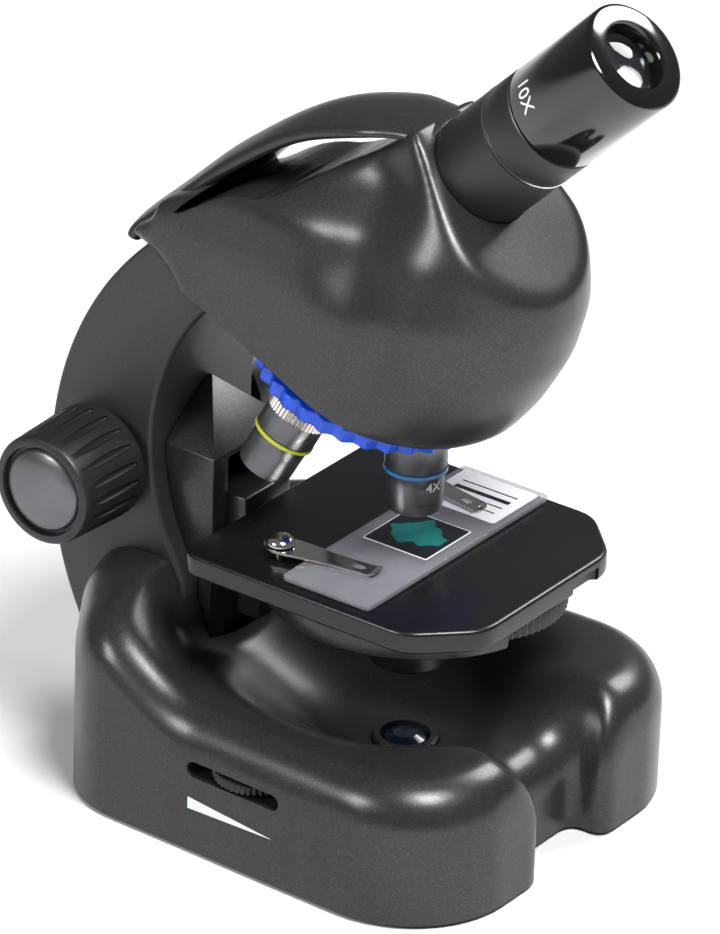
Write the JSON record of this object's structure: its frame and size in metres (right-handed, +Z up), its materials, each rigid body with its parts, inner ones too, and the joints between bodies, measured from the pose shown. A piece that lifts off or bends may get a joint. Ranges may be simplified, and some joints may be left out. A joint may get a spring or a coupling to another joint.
{
  "type": "kids microscope",
  "caption": "Children's microscope: battery lit base, curved arm, geared stage with spring clips, revolving nosepiece, inclined eyepiece and carrying handle.",
  "frame": {"origin": "middle of the whole object's footprint, on the ground", "axes": "+Z up, -Y towards the user at the eyepiece, +Y towards the arm, +X to the user's right"},
  "size_m": [0.1154, 0.1628, 0.2263],
  "materials": {
    "charcoal_shell": "satin moulded charcoal plastic with a fine metallic fleck",
    "black_plastic": "fine textured black plastic",
    "gloss_black": "polished black plastic",
    "blue_plastic": "bright blue moulded plastic",
    "gunmetal": "dark grey metallic paint",
    "nickel": "bright nickel plate",
    "steel": "plain steel",
    "brass": "turned brass",
    "clear_glass": "clear glass",
    "rubber": "black rubber",
    "circuit_board": "green circuit board",
    "battery_jacket": "printed foil jacket",
    "blue_band": "blue enamel ring",
    "yellow_band": "yellow-green enamel ring",
    "red_band": "red enamel ring",
    "white_print": "white print",
    "paper_label": "white paper label",
    "specimen": "teal stained specimen"
  },
  "bodies": {
    "microscope": {"base_shell": "charcoal_shell", "base_plate": "black_plastic", "battery_tray": "black_plastic", "battery_1": "battery_jacket", "battery_2": "battery_jacket", "battery_3": "battery_jacket", "battery_contact_left": "nickel", "battery_contact_right": "nickel", "foot_front_left": "rubber", "foot_front_right": "rubber", "foot_back_left": "rubber", "foot_back_right": "rubber", "lamp_holder": "black_plastic", "lamp_window": "clear_glass", "lamp_board": "circuit_board", "lamp_led": "clear_glass", "dimmer_control": "black_plastic", "arm_left": "charcoal_shell", "arm_right": "charcoal_shell", "focus_pillar": "charcoal_shell", "head_shell_left": "charcoal_shell", "head_shell_right": "charcoal_shell", "head_prism": "clear_glass", "eyepiece_tube": "black_plastic", "turret_screw": "steel"},
    "battery_door": {"battery_door": "black_plastic"},
    "dimmer": {"dimmer_wheel": "black_plastic"},
    "focus_drive": {"focus_shaft": "steel", "focus_pinion": "brass", "focus_knob_left": "black_plastic", "focus_knob_right": "black_plastic", "knob_cap_left": "black_plastic", "knob_cap_right": "black_plastic"},
    "stage": {"stage_carriage": "charcoal_shell", "focus_rack": "brass", "stage_plate": "black_plastic", "stage_drum": "charcoal_shell", "filter_wheel_pin": "steel", "condenser_cup": "black_plastic", "clip_screw_left": "nickel", "clip_screw_right": "nickel"},
    "filter_wheel": {"filter_wheel": "black_plastic"},
    "clip_left": {"clip_left": "nickel"},
    "clip_right": {"clip_right": "nickel"},
    "slide": {"specimen_slide": "clear_glass", "cover_glass": "clear_glass"},
    "eyepiece": {"eyepiece_collar": "gloss_black", "eyepiece_barrel": "gloss_black", "eye_lens": "clear_glass", "field_lens": "clear_glass"},
    "turret": {"turret_ring": "blue_plastic", "objective_low": "gunmetal", "objective_band_low": "blue_band", "objective_lens_low": "clear_glass", "objective_medium": "gunmetal", "objective_band_medium": "yellow_band", "objective_lens_medium": "clear_glass", "objective_high": "gunmetal", "objective_band_high": "red_band", "objective_lens_high": "clear_glass"}
  },
  "joints": [
    {"name": "focus_turn", "type": "hinge", "parent": "microscope", "child": "focus_drive", "pos_m": [0, 0.06383, 0.0775], "axis": [1, 0, 0], "range_deg": [-48, 76.6]},
    {"name": "stage_lift", "type": "slide", "parent": "microscope", "child": "stage", "axis": [0, 0, 1], "range_m": [-0.008, 0.005]},
    {"name": "filter_turn", "type": "hinge", "parent": "stage", "child": "filter_wheel", "pos_m": [0.0028, -0.03097, 0.0628], "axis": [0, 0, 1], "continuous": true},
    {"name": "clip_left_turn", "type": "hinge", "parent": "stage", "child": "clip_left", "pos_m": [-0.0257, 0.00603, 0.0736], "axis": [0, 0, 1], "range_deg": [-70, 8]},
    {"name": "clip_right_turn", "type": "hinge", "parent": "stage", "child": "clip_right", "pos_m": [0.0257, 0.00603, 0.0736], "axis": [0, 0, 1], "range_deg": [-8, 70]},
    {"name": "slide_shift", "type": "slide", "parent": "stage", "child": "slide", "axis": [1, 0, 0], "range_m": [-0.005, 0.005]},
    {"name": "turret_turn", "type": "hinge", "parent": "microscope", "child": "turret", "pos_m": [0, -0.01517, 0.16], "axis": [0, 0.2756, -0.9613], "continuous": true},
    {"name": "eyepiece_lift", "type": "slide", "parent": "microscope", "child": "eyepiece", "axis": [0, -0.7071, 0.7071], "range_m": [0, 0.03]},
    {"name": "dimmer_turn", "type": "hinge", "parent": "microscope", "child": "dimmer", "pos_m": [-0.0462, -0.00417, 0.0237], "axis": [0, 0, 1], "range_deg": [-135, 135]},
    {"name": "battery_door_drop", "type": "slide", "parent": "microscope", "child": "battery_door", "axis": [0, 0, -1], "range_m": [0, 0.02]}
  ],
  "couplings": [
    {"joint": "focus_turn", "follows": "stage_lift", "rad_per_m": -166.67}
  ]
}
